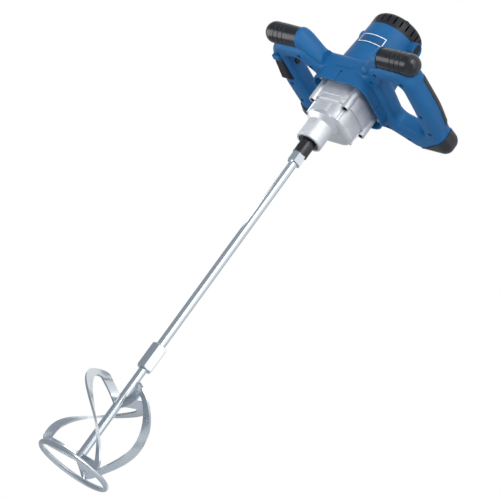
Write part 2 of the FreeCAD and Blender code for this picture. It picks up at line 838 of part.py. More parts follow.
def front_case():
    body = case_prism(0, floor_z, joint_z)
    body = body.makeFillet(case_edge_round,
                           [e for e in body.Edges if abs(e.BoundBox.ZMax - floor_z) < seat_gap])
    solids = neck_form() + [body, case_prism(flange_width, joint_z - flange_height, joint_z)]
    for x, y in case_corners(lug_spacing / math.sqrt(2)):
        solids.append(cylinder(lug_diameter, joint_z - lug_height - case_screw_head_height, joint_z, x, y))
    corner_reach = (case_half_width - case_corner_round) * math.sqrt(2) + case_corner_round
    rib_top = joint_z - lug_height - case_screw_head_height - free_gap
    for turn in diagonals:
        rib = block(Vec(0, -case_rib_width / 2, floor_z + case_edge_round / 2),
                    Vec(corner_reach + case_rib_height, case_rib_width / 2, rib_top))
        rib.rotate(ORIGIN, Z_AXIS, turn)
        rib.translate(Vec(0, motor_offset, 0))
        solids.append(rib)
    case = joined(solids)
    case = case.cut(case_prism(-case_wall, chamber_z, joint_z + overrun))
    case = case.cut(cylinder(2 * (spindle_gear_tip() + gear_room), chamber_z, spindle_gear_top + gear_room))
    x, y = layshaft_place()
    bush_outer = journal_diameter + 2 * bush_wall
    case = joined([case, cylinder(bush_outer + 2 * bush_wall, floor_z + seat_gap,
                                  chamber_z + bush_boss_height, x, y)])
    case = case.cut(cylinder(neck_bore_diameter, -neck_lip - overrun, floor_z))
    case = case.cut(cylinder(shank_diameter + 4 * free_gap, 0, chamber_z + overrun))
    pocket_z = chamber_z + bush_boss_height - journal_length
    case = case.cut(cylinder(bush_outer + 2 * seat_gap, pocket_z, joint_z, x, y))
    for x, y in case_corners(lug_spacing / math.sqrt(2)):
        case = case.cut(cylinder(case_screw_diameter + 2 * seat_gap, floor_z, joint_z + overrun, x, y))
        counterbore = cylinder(case_screw_head_diameter + 2 * seat_gap, floor_z, joint_z - lug_height, x, y)
        case = case.cut(counterbore)
    return case


def rear_case():
    solids = [case_prism(rear_case_width, joint_z, rear_case_top)]
    for x, y in case_corners(lug_spacing / math.sqrt(2)):
        solids.append(cylinder(lug_diameter, joint_z, rear_case_top, x, y))
    for x, y in case_corners(ear_reach):
        solids.append(cylinder(ear_diameter, rear_case_top - ear_height, rear_case_top, x, y))
    for turn in diagonals:
        arm = block(Vec(case_half_width, -ear_diameter / 2, rear_case_top - ear_height),
                    Vec(ear_reach, ear_diameter / 2, rear_case_top))
        arm.rotate(ORIGIN, Z_AXIS, turn)
        arm.translate(Vec(0, motor_offset, 0))
        solids.append(arm)
    case = joined(solids)
    case = case.cut(case_prism(-case_wall, joint_z + rear_plate, rear_case_top + overrun))
    boss_top = bearing_low() + lower_bearing_height
    boss = cylinder(lower_bearing_diameter + 2 * bearing_boss_wall, joint_z, boss_top, 0, motor_offset)
    case = joined([case, boss])
    case = case.cut(cylinder(lower_bearing_diameter + 2 * seat_gap, bearing_low(), boss_top + overrun,
                             0, motor_offset))
    case = case.cut(cylinder(motor_shaft_diameter + 2 * free_gap, joint_z - overrun, boss_top,
                             0, motor_offset))
    x, y = layshaft_place()
    case = case.cut(cylinder(journal_diameter + 2 * bush_wall + 2 * seat_gap, joint_z - overrun,
                             joint_z + journal_length, x, y))
    for x, y in case_corners(lug_spacing / math.sqrt(2)):
        case = case.cut(cylinder(case_screw_diameter + 2 * seat_gap, joint_z - overrun,
                                 joint_z + case_screw_grip + seat_gap, x, y))
    for x, y in case_corners(ear_reach):
        case = case.cut(cylinder(case_screw_diameter + 2 * seat_gap, joint_z, rear_case_top + overrun, x, y))
    return case


def bearing_low():
    return joint_z + rear_plate - bearing_boss_wall


def socket_screw(head, head_height, diameter, head_top, shank, socket, x, y):
    # Cap screw driven from below: the head hangs under its seat, the shank runs upwards
    low = head_top - head_height
    screw = cylinder(head, low, head_top, x, y).fuse(cylinder(diameter, head_top, head_top + shank, x, y))
    recess = cylinder(socket, low - overrun, low + head_height / 2, x, y)
    return screw.cut(recess)


def case_screws():
    shank = lug_height + case_screw_grip
    return group([socket_screw(case_screw_head_diameter, case_screw_head_height, case_screw_diameter,
                               joint_z - lug_height, shank, case_screw_socket, x, y)
                  for x, y in case_corners(lug_spacing / math.sqrt(2))])


def ear_screws():
    shank = ear_height + seat_gap + ear_screw_grip
    return group([socket_screw(case_screw_head_diameter, ear_screw_head_height, case_screw_diameter,
                               rear_case_top - ear_height, shank, case_screw_socket, x, y)
                  for x, y in case_corners(ear_reach)])


def housing_screws():
    return group([socket_screw(screw_head_diameter, screw_head_height, screw_diameter,
                               frame_low + screw_recess_depth, screw_grip, screw_diameter / 2, p.x, p.y)
                  for p in screw_places()])


def end_cap_screws():
    screws = []
    seat = cap_top - cap_screw_recess
    for turn in diagonals:
        x, y = polar(cap_screw_radius, turn, 0, motor_offset)
        head = cylinder(screw_head_diameter, seat, seat + screw_head_height, x, y)
        shank = cylinder(screw_diameter, barrel_top - cap_screw_grip, seat, x, y)
        recess = cylinder(screw_diameter / 2, seat + screw_head_height / 2, cap_top, x, y)
        screws.append(head.fuse(shank).cut(recess))
    return group(screws)


def hexagon(width, low, high):
    corners = [Vec(*polar(width / math.sqrt(3), 60 * i + hexagon_turn), low) for i in range(6)]
    return Part.Face(Part.makePolygon(corners + [corners[0]])).extrude(Vec(0, 0, high - low))


def spindle():
    shank_low = seal_height
    nose = cylinder(spindle_diameter, spindle_low, shank_low)
    flats_low = spindle_low + spindle_flat_height / 2
    reach = spindle_diameter
    keep = block(Vec(-reach, -spindle_flat_width / 2, flats_low),
                 Vec(reach, spindle_flat_width / 2, flats_low + spindle_flat_height))
    band = block(Vec(-reach, -reach, flats_low), Vec(reach, reach, flats_low + spindle_flat_height))
    nose = nose.cut(band.cut(keep))
    shank = cylinder(shank_diameter, shank_low, spindle_gear_z - level_gap / 2)
    seat = cylinder(gear_seat_diameter, shank_low, spindle_gear_top + 2 * circlip_height)
    solid = joined([nose, shank, seat])
    groove = tube(gear_seat_diameter + overrun, gear_seat_diameter - circlip_width, spindle_gear_top,
                  spindle_gear_top + circlip_height)
    solid = solid.cut(groove)
    return solid.cut(cylinder(thread_diameter + 2 * seat_gap, spindle_low - overrun,
                              spindle_low + thread_depth))


def spindle_gear():
    x, y = layshaft_place()
    towards = math.atan2(y, x)
    wheel = gear(spindle_gear_teeth, second_module, spindle_gear_z - level_gap / 2, spindle_gear_top, 0, 0,
                 towards + math.pi / spindle_gear_teeth)
    return wheel.cut(cylinder(gear_seat_diameter + 2 * seat_gap, 0, joint_z))


def circlip():
    low = spindle_gear_top + seat_gap / 2
    high = spindle_gear_top + circlip_height - seat_gap / 2
    inner = gear_seat_diameter - circlip_width + 2 * seat_gap
    ring = tube(gear_seat_diameter + 2 * circlip_width, inner, low, high)
    gap = block(Vec(0, -circlip_width, low - overrun),
                Vec(gear_seat_diameter, circlip_width, high + overrun))
    return ring.cut(gap)


def spindle_bearings():
    outer = neck_bore_diameter - 2 * seat_gap
    inner = shank_diameter + 2 * running_gap
    low = seal_height + seat_gap
    return group([tube(outer, inner, low, low + spindle_bearing_height),
                  tube(outer, inner, floor_z - spindle_bearing_height, floor_z)])


def bearing_spacer():
    outer = neck_bore_diameter - 2 * seat_gap
    return tube(outer, outer - 2 * spacer_wall, seal_height + seat_gap + spindle_bearing_height,
                floor_z - spindle_bearing_height)


def neck_seal():
    return tube(neck_bore_diameter - 2 * seat_gap, spindle_diameter + 2 * running_gap, 0, seal_height)


def layshaft():
    x, y = layshaft_place()
    towards = math.atan2(-y, -x)
    pinion = gear(layshaft_pinion_teeth, second_module, spindle_gear_z - level_gap / 2, layshaft_gear_z,
                  x, y, towards)
    low = chamber_z + bush_boss_height - journal_length + free_gap
    journals = cylinder(journal_diameter, low, joint_z + journal_length - free_gap, x, y)
    seat = cylinder(layshaft_diameter, layshaft_gear_z, layshaft_gear_top, x, y)
    return joined([journals, seat, pinion])


def layshaft_gear():
    x, y = layshaft_place()
    towards = math.atan2(motor_offset - y, -x)
    wheel = gear(layshaft_gear_teeth, first_module, layshaft_gear_z, layshaft_gear_top, x, y,
                 towards + math.pi / layshaft_gear_teeth)
    return wheel.cut(cylinder(layshaft_diameter + 2 * seat_gap, 0, joint_z, x, y))


def layshaft_bushes():
    x, y = layshaft_place()
    outer = journal_diameter + 2 * bush_wall
    inner = journal_diameter + 2 * running_gap
    top = chamber_z + bush_boss_height
    return group([tube(outer, inner, top - journal_length + seat_gap, top, x, y),
                  tube(outer, inner, joint_z, joint_z + journal_length - seat_gap, x, y)])


def armature_shaft():
    x, y = layshaft_place()
    towards = math.atan2(y - motor_offset, x)
    pinion = gear(armature_teeth, first_module, layshaft_gear_z, joint_z, 0, motor_offset, towards)
    shaft = cylinder(motor_shaft_diameter, joint_z - seat_gap, upper_bearing_z - motor_shaft_step,
                     0, motor_offset)
    journal = cylinder(motor_shaft_diameter - 2 * motor_shaft_step, joint_z, upper_bearing_top - free_gap,
                       0, motor_offset)
    return joined([pinion, shaft, journal])


def armature_core():
    core = tube(core_diameter, motor_shaft_diameter + 2 * seat_gap, core_z, core_top, 0, motor_offset)
    for index in range(core_slot_count):
        x, y = polar(core_diameter / 2, 360 / core_slot_count * index, 0, motor_offset)
        core = core.cut(cylinder(core_slot_diameter, core_z - overrun, core_top + overrun, x, y))
    return core


def commutator():
    return tube(commutator_diameter, motor_shaft_diameter + 2 * seat_gap, commutator_z,
                commutator_z + commutator_length, 0, motor_offset)


def cooling_fan():
    hub_diameter = motor_shaft_diameter + 2 * seat_gap
    hub_outer = commutator_diameter
    tip = fan_diameter / 2 - free_gap
    solids = [cylinder(hub_outer, fan_z, fan_z + fan_height, 0, motor_offset),
              cylinder(2 * tip, fan_z + fan_height - fan_plate, fan_z + fan_height, 0, motor_offset)]
    for index in range(fan_blade_count):
        blade = block(Vec(hub_outer / 2 - fan_plate, -fan_blade_thickness / 2, fan_z),
                      Vec(tip - fan_plate, fan_blade_thickness / 2, fan_z + fan_height))
        blade.rotate(ORIGIN, Z_AXIS, 360.0 / fan_blade_count * index)
        blade.translate(Vec(0, motor_offset, 0))
        solids.append(blade)
    bore = cylinder(hub_diameter, fan_z - overrun, fan_z + fan_height + overrun, 0, motor_offset)
    return joined(solids).cut(bore)


def lower_motor_bearing():
    low = bearing_low()
    inner = motor_shaft_diameter + 2 * running_gap
    return tube(lower_bearing_diameter, inner, low, low + lower_bearing_height, 0, motor_offset)


def upper_motor_bearing():
    inner = motor_shaft_diameter - 2 * motor_shaft_step + 2 * running_gap
    return tube(upper_bearing_diameter, inner, upper_bearing_z, upper_bearing_top, 0, motor_offset)


def stator_core():
    return tube(stator_diameter, core_diameter + 2 * air_gap, core_z, core_top, 0, motor_offset)


def stator_windings():
    inner = core_diameter + 2 * air_gap
    coils = []
    for low in (core_z - winding_height, core_top):
        ring = tube(inner + 2 * winding_thickness, inner, low, low + winding_height, 0, motor_offset)
        for side in (0, 180):
            wedge = Part.makeCylinder(stator_diameter, winding_height, Vec(0, 0, low), Z_AXIS, winding_span)
            wedge.rotate(ORIGIN, Z_AXIS, side - winding_span / 2)
            wedge.translate(Vec(0, motor_offset, 0))
            coils.append(ring.common(wedge))
    return group(coils)


def brush_holders():
    inner = commutator_diameter / 2 + brush_lift + level_gap
    holder = holder_form(0, inner, boss_reach - cover_recess - cover_depth - seat_gap)
    half_w = brush_width / 2 + seat_gap
    half_h = brush_height / 2 + seat_gap
    channel = block(Vec(inner - overrun, motor_offset - half_w, brush_z - half_h),
                    Vec(boss_reach, motor_offset + half_w, brush_z + half_h))
    return group(both_sides(holder.cut(channel)))


def carbon_brushes():
    inner = commutator_diameter / 2 + brush_lift
    brush = block(Vec(inner, motor_offset - brush_width / 2, brush_z - brush_height / 2),
                  Vec(inner + brush_length, motor_offset + brush_width / 2, brush_z + brush_height / 2))
    return group(both_sides(brush))


def brush_covers():
    cover = cover_form(0, boss_reach - cover_recess - cover_depth, boss_reach - cover_recess)
    half_slot = cover_recess / 2
    slot = block(Vec(boss_reach - 2 * cover_recess, motor_offset - half_slot, brush_z - cover_width / 2),
                 Vec(boss_reach, motor_offset + half_slot, brush_z + cover_width / 2))
    return group(both_sides(cover.cut(slot)))


def trigger():
    # Side view of the paddle, drawn in the YZ plane and given its width along X
    front = -trigger_front
    rear = trigger_length - trigger_front
    pivot_y, pivot_z = pivot_place()
    corners = [Vec(0, front, frame_low - trigger_front_drop),
               Vec(0, rear - trigger_slant, frame_low - trigger_drop),
               Vec(0, rear, frame_low), Vec(0, rear, frame_low + trigger_rise),
               Vec(0, front, pivot_z + pivot_cover)]
    face = Part.Face(rounded_wire(corners, [trigger_round] * len(corners)))
    solid = face.extrude(Vec(trigger_width, 0, 0))
    solid.translate(Vec(-grip_x - trigger_width / 2, 0, 0))
    pin_hole = pin_diameter + 2 * running_gap
    solid = solid.cut(bar_along_x(pin_hole, -grip_x - trigger_width, 0, pivot_y, pivot_z))
    pocket_y = pivot_y + spring_from_pivot
    return solid.cut(cylinder(spring_pocket_diameter, frame_low + trigger_rise - spring_pocket_depth,
                              parting_z, -grip_x, pocket_y))


def trigger_pin():
    pivot_y, pivot_z = pivot_place()
    half = trigger_width / 2 + free_gap + pin_ear_thickness
    return bar_along_x(pin_diameter, -grip_x - half, -grip_x + half, pivot_y, pivot_z)


def trigger_spring():
    pivot_y, pivot_z = pivot_place()
    top = frame_low + switch_bottom_rise
    return tube(spring_diameter, spring_diameter - 2 * spring_wall, top - spring_reach, top,
                -grip_x, pivot_y + spring_from_pivot)


def switch_module():
    low = frame_low + switch_bottom_rise
    return block(Vec(-grip_x - switch_width / 2, -switch_front, low),
                 Vec(-grip_x + switch_width / 2, switch_length - switch_front, low + switch_height))


def lock_button():
    outer_x = inner_wall_x() + button_proud
    back_x = outer_x - button_length
    solid = button_form(0, back_x, outer_x)
    rim = [e for e in solid.Edges if abs(e.BoundBox.XMin - outer_x) < seat_gap]
    solid = solid.makeFillet(button_proud / 3, rim)
    flange_x = inner_wall_x() - housing_wall - free_gap
    flange = button_form(button_flange, flange_x - button_flange_thickness, flange_x)
    solid = joined([solid, flange])
    return solid.cut(bar_along_x(button_bore_diameter, back_x - overrun, back_x + button_bore_depth,
                                 button_y, parting_z))


def lock_button_spring():
    switch_x = -grip_x + switch_width / 2
    end_x = switch_x + button_spring_length
    outer = bar_along_x(button_spring_diameter, switch_x, end_x, button_y, parting_z)
    bore = bar_along_x(button_spring_diameter - 2 * button_spring_wall, switch_x - overrun,
                       end_x + overrun, button_y, parting_z)
    return outer.cut(bore)


def cable_inlet():
    wall_y = outline_shares[-1][1] * handle_rear
    bush = bar_along_y(inlet_diameter, wall_y - inlet_length / 2, wall_y + inlet_length / 2, 0, parting_z)
    inner_y = wall_y - housing_wall - seat_gap
    flange = bar_along_y(inlet_diameter + 2 * inlet_flange, inner_y - inlet_flange_thickness, inner_y,
                         0, parting_z)
    bore = bar_along_y(inlet_bore_diameter, wall_y - inlet_length, wall_y + inlet_length, 0, parting_z)
    return joined([bush, flange]).cut(bore)


def stirrer_rod():
    head = hexagon(hex_head_width, spindle_low - hex_head_height, spindle_low - seat_gap)
    stud = cylinder(thread_diameter, spindle_low - hex_head_height, spindle_low + thread_depth - free_gap)
    rod = cylinder(rod_diameter, coupling_top - coupling_height / 2 + coupling_web / 2,
                   spindle_low - hex_head_height)
    return joined([head, stud, rod])


def hex_coupling():
    body = hexagon(coupling_width, coupling_low, coupling_top)
    corner = coupling_width / math.sqrt(3)
    low_end = Part.makeCone(corner - coupling_chamfer, corner, coupling_chamfer, Vec(0, 0, coupling_low))
    high_end = Part.makeCone(corner, corner - coupling_chamfer, coupling_chamfer,
                             Vec(0, 0, coupling_top - coupling_chamfer))
    middle = cylinder(2 * corner, coupling_low + coupling_chamfer, coupling_top - coupling_chamfer)
    body = body.common(joined([low_end, middle, high_end]))
    web_low = (coupling_low + coupling_top - coupling_web) / 2
    body = body.cut(cylinder(rod_diameter + 2 * seat_gap, web_low + coupling_web, coupling_top + overrun))
    return body.cut(cylinder(paddle_shaft_diameter + 2 * seat_gap, coupling_low - overrun, web_low))


def paddle_shaft():
    web_low = (coupling_low + coupling_top - coupling_web) / 2
    return cylinder(paddle_shaft_diameter, shaft_low, web_low)


def paddle_ring():
    return Part.makeTorus(ring_diameter / 2, ring_rod_diameter / 2, Vec(0, 0, ring_z))


def blade_path():
    # Middle line of one blade as radius and height: hub arm out, side down, foot arm back to the shaft
    middle_radius = blade_outer_radius - blade_width / 2
    hub_z = ring_z + blade_hub_rise
    foot_z = ring_z + blade_foot_rise
    inner_radius = paddle_shaft_diameter / 4
    corners = [Vec(inner_radius, hub_z, 0),
               Vec(middle_radius * blade_arm_share, hub_z + blade_arm_rise, 0),
               Vec(middle_radius, (hub_z + foot_z) / 2, 0),
               Vec(middle_radius * blade_foot_share, foot_z, 0),
               Vec(inner_radius, foot_z + blade_foot_arm_rise, 0)]
    rounds = [blade_corner_round, blade_side_round, blade_foot_round]
    edges = []
    last = corners[0]
    for index, turn_radius in enumerate(rounds, 1):
        start, middle, end = corner_arc(corners[index - 1], corners[index], corners[index + 1], turn_radius)
        edges.append(Part.LineSegment(last, start).toShape())
        edges.append(Part.Arc(start, middle, end).toShape())
        last = end
    edges.append(Part.LineSegment(last, corners[-1]).toShape())
    return Part.Wire(edges).discretize(blade_stations)


def rail_edges(points):
    # Smooth edge of a strip, in runs, with even parameters so that its neighbours match it
    curve = Part.BSplineCurve()
    curve.interpolate(Points=list(points), Parameters=[float(index) for index in range(len(points))])
    step = (len(points) - 1) // blade_runs
    return [curve.toShape(step * run, step * (run + 1)) for run in range(blade_runs)]


def end_patch(corners):
    return Part.makeRuledSurface(Part.LineSegment(corners[0], corners[1]).toShape(),
                                 Part.LineSegment(corners[3], corners[2]).toShape(), 1)


def blade(first_turn):
    # Flat C-shaped strip in a plane through the axis, twisted about the axis as it goes down
    stations = blade_path()
    top_z = max(spot.y for spot in stations)
    height = top_z - min(spot.y for spot in stations)
    twist = math.radians(blade_twist)
    sections = []
    for index, spot in enumerate(stations):
        ahead = stations[min(index + 1, blade_stations - 1)] - stations[max(index - 1, 0)]
        ahead.normalize()
        across = Vec(ahead.y, -ahead.x, 0) * (blade_width / 2)
        corners = []
        for side, face in ((1, 1), (-1, 1), (-1, -1), (1, -1)):
            edge = spot + across * side
            down = (top_z - edge.y) / height
            turn = math.radians(first_turn) + twist * down * (1 + blade_twist_ease * (1 - down))
            lean = edge.x * twist * (1 + blade_twist_ease * (1 - 2 * down)) / height
            offset = face * blade_thickness / 2 / math.sqrt(1 + lean * lean)
            corners.append(Vec(edge.x * math.cos(turn) - offset * math.sin(turn),
                               edge.x * math.sin(turn) + offset * math.cos(turn), edge.y + offset * lean))
        sections.append(corners)
    rails = [rail_edges(rail) for rail in zip(*sections)]
    faces = [Part.makeRuledSurface(first, second, 1)
             for i in range(len(rails)) for first, second in zip(rails[i - 1], rails[i])]
    faces += [end_patch(sections[0]), end_patch(sections[-1])]
    shell = Part.makeShell(faces)
    shell.sewShape()
    strip = Part.makeSolid(shell)
    return strip.cut(paddle_shaft()).cut(paddle_ring())


def blade_pieces():
    turns = [blade_first_turn + 360 / blade_count * i for i in range(blade_count)]
    return {"paddle_blade_%d" % (i + 1): largest(blade(turn)) for i, turn in enumerate(turns)}


def largest(shape):
    return max(shape.Solids, key=lambda solid: solid.Volume)


def build():
    lower, upper = housing_halves()
    nodes = {
        "lower_housing": lower, "upper_housing": upper,
        "motor_end_cap": end_cap(), "name_plate": name_plate(),
        "right_horn": horn(), "left_horn": mirrored(horn()),
        "right_bumper": bumper(), "left_bumper": mirrored(bumper()),
        "right_grip_strip": grip_strip(), "left_grip_strip": mirrored(grip_strip()),
        "housing_screws": housing_screws(), "end_cap_screws": end_cap_screws(),
        "gear_case_screws": case_screws(), "case_mounting_screws": ear_screws(),
        "front_gear_case": front_case(), "rear_gear_case": rear_case(),
        "spindle": spindle(), "spindle_gear": spindle_gear(), "spindle_circlip": circlip(),
        "spindle_bearings": spindle_bearings(), "bearing_spacer": bearing_spacer(), "neck_seal": neck_seal(),
        "layshaft": layshaft(), "layshaft_gear": layshaft_gear(), "layshaft_bushes": layshaft_bushes(),
        "armature_shaft": armature_shaft(), "armature_core": armature_core(), "commutator": commutator(),
        "cooling_fan": cooling_fan(), "lower_motor_bearing": lower_motor_bearing(),
        "upper_motor_bearing": upper_motor_bearing(), "stator_core": stator_core(),
        "stator_windings": stator_windings(), "brush_holders": brush_holders(),
        "carbon_brushes": carbon_brushes(), "brush_covers": brush_covers(),
        "trigger": trigger(), "trigger_pin": trigger_pin(), "trigger_spring": trigger_spring(),
        "switch_module": switch_module(),
        "lock_button": lock_button(), "lock_button_spring": lock_button_spring(),
        "cable_inlet": cable_inlet(), "stirrer_rod": stirrer_rod(), "hex_coupling": hex_coupling(),
        "paddle_shaft": paddle_shaft(), "paddle_ring": paddle_ring()}
    nodes.update(blade_pieces())
    return nodes


os.makedirs("parts", exist_ok=True)
for name, shape in build().items():
    shape.exportStep("parts/" + name + ".step")
    print(name, len(shape.Solids), "valid" if shape.isValid() else "INVALID", round(shape.Volume))
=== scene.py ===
import bmesh
import bpy
import json
import math
from mathutils import Euler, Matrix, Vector
from mathutils.bvhtree import BVHTree


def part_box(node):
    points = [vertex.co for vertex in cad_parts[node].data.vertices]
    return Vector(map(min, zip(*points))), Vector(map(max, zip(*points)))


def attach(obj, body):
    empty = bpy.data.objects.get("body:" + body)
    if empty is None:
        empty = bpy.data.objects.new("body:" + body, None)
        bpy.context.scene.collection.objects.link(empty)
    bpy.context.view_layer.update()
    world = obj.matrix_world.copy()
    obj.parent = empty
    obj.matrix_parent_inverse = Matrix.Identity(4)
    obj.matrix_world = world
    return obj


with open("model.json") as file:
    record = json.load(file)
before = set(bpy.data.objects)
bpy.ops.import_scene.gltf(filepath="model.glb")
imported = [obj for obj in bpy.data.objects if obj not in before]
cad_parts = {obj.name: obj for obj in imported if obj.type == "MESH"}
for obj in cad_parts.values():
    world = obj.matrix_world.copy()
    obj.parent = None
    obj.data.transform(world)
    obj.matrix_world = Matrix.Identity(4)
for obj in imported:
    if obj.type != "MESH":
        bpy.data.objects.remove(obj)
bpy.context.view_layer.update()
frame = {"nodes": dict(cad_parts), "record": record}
nodes = frame["nodes"]
scene = bpy.context.scene
scene.view_settings.view_transform = "Standard"


# Camera, fitted to the photo

SENSOR = 36.0             # millimetres
LENS = 140.29             # millimetres
CAMERA_PLACE = (1.84508, -2.01228, -1.16242)
CAMERA_TURN = (113.5913, -33.5329, 28.4589)     # degrees
FAR = 50.0

camera_data = bpy.data.cameras.new("camera")
camera_data.sensor_width = SENSOR
camera_data.lens = LENS
camera_data.clip_end = FAR
camera = bpy.data.objects.new("camera", camera_data)
camera.location = CAMERA_PLACE
camera.rotation_euler = Euler([math.radians(angle) for angle in CAMERA_TURN])
scene.collection.objects.link(camera)
scene.camera = camera
view = camera.rotation_euler.to_matrix()
RIGHT, UP, BACK = (Vector(view.col[i]) for i in range(3))


# Node helpers for procedural materials

class Shader:
    """A principled material with short calls for the nodes that feed it."""

    def __init__(self, name, **constants):
        self.material = bpy.data.materials.new(name)
        self.material.use_nodes = True
        self.tree = self.material.node_tree
        self.bsdf = self.tree.nodes["Principled BSDF"]
        for key, value in constants.items():
            self.bsdf.inputs[key.replace("_", " ")].default_value = value
        self.position = self.add("ShaderNodeTexCoord").outputs["Object"]

    def add(self, kind, **settings):
        node = self.tree.nodes.new(kind)
        for key, value in settings.items():
            setattr(node, key, value)
        return node

    def link(self, source, target):
        self.tree.links.new(source, target)

    def put(self, socket, value):
        if hasattr(value, "is_output"):
            self.link(value, socket)
        else:
            socket.default_value = value

    def math(self, operation, *values):
        node = self.add("ShaderNodeMath", operation=operation)
        for socket, value in zip(node.inputs, values):
            self.put(socket, value)
        return node.outputs[0]

    def times(self, first, second):
        return self.math("MULTIPLY", first, second)

    def away(self, value, middle):
        return self.math("ABSOLUTE", self.math("SUBTRACT", value, middle))

    def axes(self):
        node = self.add("ShaderNodeSeparateXYZ")
        self.link(self.position, node.inputs[0])
        return node.outputs

    def stretched(self, scale):
        node = self.add("ShaderNodeMapping")
        self.link(self.position, node.inputs["Vector"])
        node.inputs["Scale"].default_value = scale
        return node.outputs[0]

    def noise(self, scale, detail=4.0, coords=None):
        node = self.add("ShaderNodeTexNoise")
        self.link(coords or self.position, node.inputs["Vector"])
        for key, value in (("Scale", scale), ("Detail", detail), ("Roughness", 0.55)):
            node.inputs[key].default_value = value
        return node.outputs["Fac"]

    def spread(self, source, low, high, start=0.3, end=0.7):
        node = self.add("ShaderNodeMapRange")
        self.link(source, node.inputs["Value"])
        for key, value in (("From Min", start), ("From Max", end),
                           ("To Min", low), ("To Max", high)):
            node.inputs[key].default_value = value
        return node.outputs["Result"]

    def mix(self, factor, first, second):
        node = self.add("ShaderNodeMix", data_type="RGBA")
        self.put(node.inputs["Factor"], factor)
        for key, value in (("A", first), ("B", second)):
            socket = next(s for s in node.inputs if s.name == key and s.type == "RGBA")
            self.put(socket, value if hasattr(value, "is_output") else (*value, 1.0))
        return next(s for s in node.outputs if s.type == "RGBA")

    def bump(self, height, strength, distance):
        """Adds relief on top of any that is there already."""
        node = self.add("ShaderNodeBump")
        node.inputs["Strength"].default_value = strength
        node.inputs["Distance"].default_value = distance
        self.link(height, node.inputs["Height"])
        last = self.bsdf.inputs["Normal"].links
        if last:
            self.link(last[0].from_socket, node.inputs["Normal"])
        self.link(node.outputs[0], self.bsdf.inputs["Normal"])

    def colour(self, value):
        self.link(value, self.bsdf.inputs["Base Color"])

    def roughness(self, value):
        self.link(value, self.bsdf.inputs["Roughness"])


# Finishes, one for each material slot of the record

PLASTIC_MOTTLE, PLASTIC_SHEEN = 22.0, 90.0      # noise scales of colour and roughness
METAL_MOTTLE, METAL_SHEEN = 45.0, 160.0
PARTING_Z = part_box("lower_housing")[1][2]       # where the two housing shells meet
SEAM_FLOOR, SEAM_LIP = 0.00010, 0.00045         # half widths of the groove there
NECK_RADIUS, NECK_TOP = 0.0225, 0.0335          # the turned neck lies inside and below these
NECK_PITCH, SPINDLE_PITCH = 0.0006, 0.0012      # of the turning marks
MOTOR_Y = 0.0185                                # motor axis behind the spindle axis
OUTLINE_START, OUTLINE_END = 0.0008, 0.0022     # distances in from the name plate's edge


def moulded(name, dark, light, rough, grain, depth, shine=0.5):
    """Moulded plastic or rubber: faint mottling and a spark-eroded grain."""
    shader = Shader(name, Specular_IOR_Level=shine)
    mottle = shader.spread(shader.noise(PLASTIC_MOTTLE), 0.0, 1.0)
    shader.colour(shader.mix(mottle, dark, light))
    shader.roughness(shader.spread(shader.noise(PLASTIC_SHEEN, 6.0), *rough))
    shader.bump(shader.noise(grain, 3.0), strength=0.22, distance=depth)
    return shader


def metal(name, dark, light, rough, stretch=(1.0, 1.0, 1.0), grain=700.0, depth=0.00006):
    """Bare metal: drawn or cast streaks in colour, roughness and height."""
    shader = Shader(name, Metallic=1.0)
    coords = shader.stretched(stretch)
    streaks = shader.spread(shader.noise(METAL_MOTTLE, 5.0, coords), 0.0, 1.0)
    shader.colour(shader.mix(streaks, dark, light))
    shader.roughness(shader.spread(shader.noise(METAL_SHEEN, 6.0, coords), *rough))
    shader.bump(shader.noise(grain, 4.0, coords), strength=0.2, distance=depth)
    return shader


def turning_marks(shader, z, pitch):
    return shader.math("SINE", shader.times(z, 2 * math.pi / pitch))


def housing_plastic():
    """Blue plastic with a fine groove along the parting line."""
    shader = moulded("blue_housing_plastic", (0.008, 0.098, 0.258), (0.012, 0.116, 0.298),
                     rough=(0.40, 0.50), grain=1900.0, depth=0.00012, shine=0.22)
    off_seam = shader.away(shader.axes()["Z"], PARTING_Z)
    groove = shader.spread(off_seam, 0.0, 1.0, SEAM_FLOOR, SEAM_LIP)
    shader.bump(groove, strength=0.6, distance=0.0004)
    return shader


def cast_aluminium():
    """Cast metal, turned on the neck."""
    shader = metal("cast_aluminium", (0.62, 0.63, 0.66), (0.74, 0.75, 0.78),
                   rough=(0.50, 0.60), grain=900.0, depth=0.00003)
    x, y, z = shader.axes()
    radius = shader.math("SQRT", shader.math("ADD", shader.times(x, x), shader.times(y, y)))
    turned = shader.times(shader.math("LESS_THAN", radius, NECK_RADIUS),
                          shader.math("LESS_THAN", z, NECK_TOP))
    marks = shader.times(turned, turning_marks(shader, z, NECK_PITCH))
    shader.bump(marks, strength=0.25, distance=0.00005)
    return shader


def dark_steel():
    shader = metal("dark_turned_steel", (0.044, 0.044, 0.048), (0.072, 0.072, 0.077),
                   rough=(0.30, 0.42))
    marks = turning_marks(shader, shader.axes()["Z"], SPINDLE_PITCH)
    shader.bump(marks, strength=0.3, distance=0.00008)
    return shader


